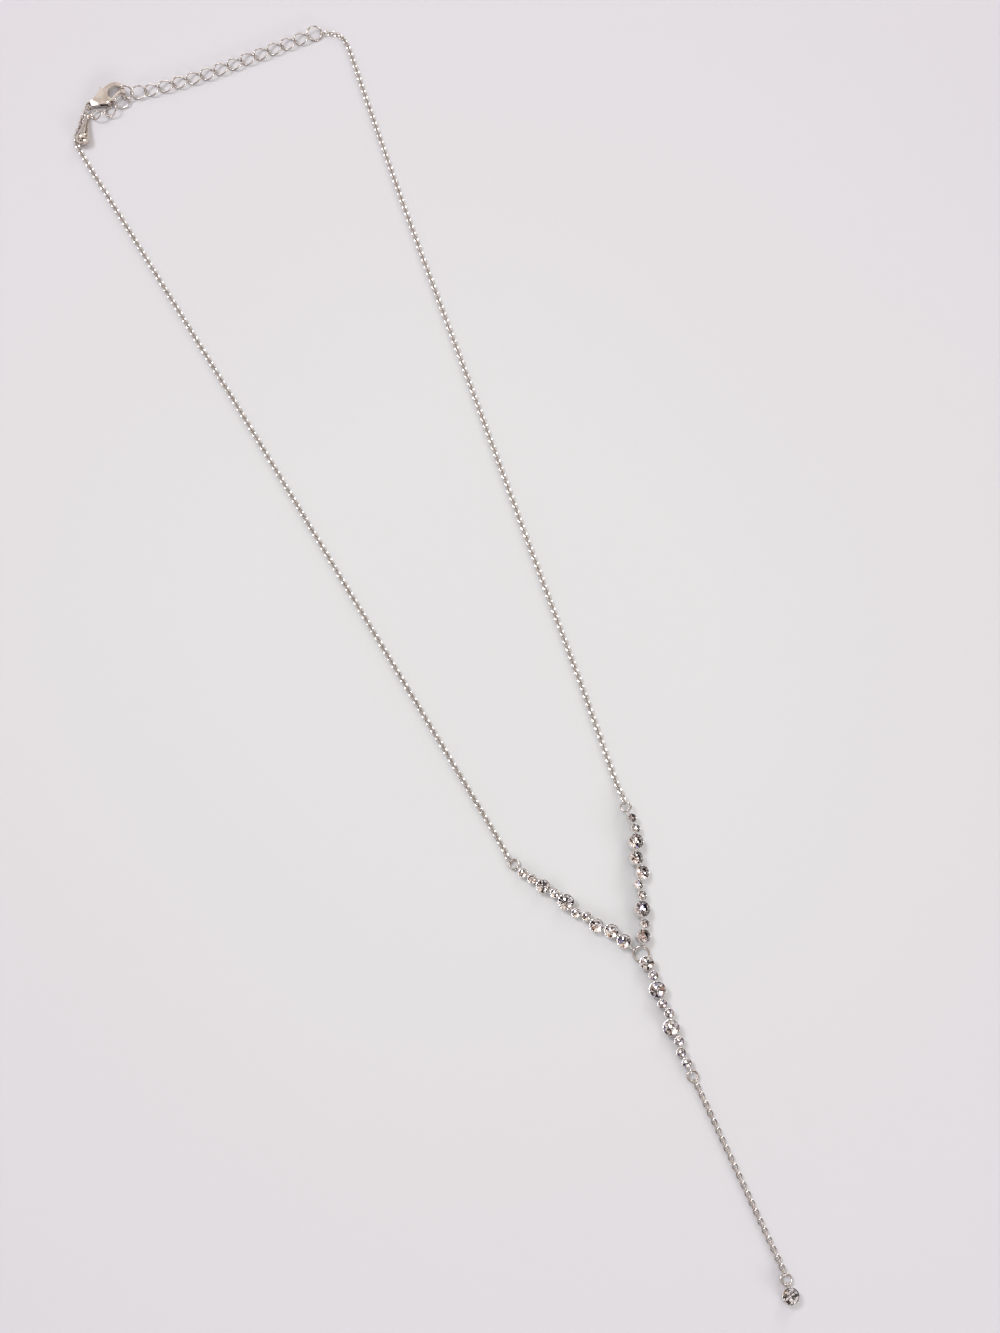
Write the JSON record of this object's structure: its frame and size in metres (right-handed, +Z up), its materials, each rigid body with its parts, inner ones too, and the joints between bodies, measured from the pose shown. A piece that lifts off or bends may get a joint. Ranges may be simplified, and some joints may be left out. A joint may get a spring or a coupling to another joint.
{
  "type": "y necklace with stone-set bars",
  "caption": "Y necklace: two stone-set bars and a stone-set drop bar on a ring, a chain with an end stone, fine neck chains, lobster clasp, extender chain and teardrop weight, laid flat.",
  "frame": {"origin": "under the middle of the whole necklace, on the surface that it lies on", "axes": "+Y runs from the end stone up to the clasp, along the necklace's length; +Z points up from the surface; +X points to the arm with the rolled stones"},
  "size_m": [0.0706, 0.3167, 0.0035],
  "materials": {
    "bright_metal": "polished rhodium plate over brass",
    "stone": "clear faceted crystal glass with a mirrored back"
  },
  "bodies": {
    "necklace": {"stone_left_1": "stone", "stone_left_2": "stone", "stone_left_3": "stone", "stone_left_4": "stone", "stone_left_5": "stone", "stone_left_6": "stone", "stone_left_7": "stone", "stone_left_8": "stone", "stone_left_9": "stone", "stone_left_10": "stone", "stone_right_1": "stone", "stone_right_2": "stone", "stone_right_3": "stone", "stone_right_4": "stone", "stone_right_5": "stone", "stone_right_6": "stone", "stone_right_7": "stone", "stone_right_8": "stone", "stone_right_9": "stone", "stone_right_10": "stone", "stone_drop_1": "stone", "stone_drop_2": "stone", "stone_drop_3": "stone", "stone_drop_4": "stone", "stone_drop_5": "stone", "stone_drop_6": "stone", "stone_drop_7": "stone", "stone_drop_8": "stone", "stone_drop_9": "stone", "stone_end": "stone", "setting_left": "bright_metal", "setting_right": "bright_metal", "setting_drop": "bright_metal", "setting_end": "bright_metal", "ring_junction": "bright_metal", "ring_left": "bright_metal", "ring_right": "bright_metal", "ring_drop": "bright_metal", "ring_end": "bright_metal", "ring_extender": "bright_metal", "ring_clasp": "bright_metal", "chain_left": "bright_metal", "chain_right": "bright_metal", "chain_drop": "bright_metal", "chain_extender": "bright_metal", "clasp_body": "bright_metal", "clasp_pin": "bright_metal", "weight": "bright_metal"},
    "lever": {"clasp_lever": "bright_metal"}
  },
  "joints": [
    {"name": "lever_hinge", "type": "hinge", "parent": "necklace", "child": "lever", "pos_m": [-0.02359, 0.15338, 0.00116], "axis": [-0.0871, -0.0023, 0.9962], "range_deg": [0, 6], "stiffness_Nm_per_rad": 0.002, "springref_deg": -17.19}
  ]
}
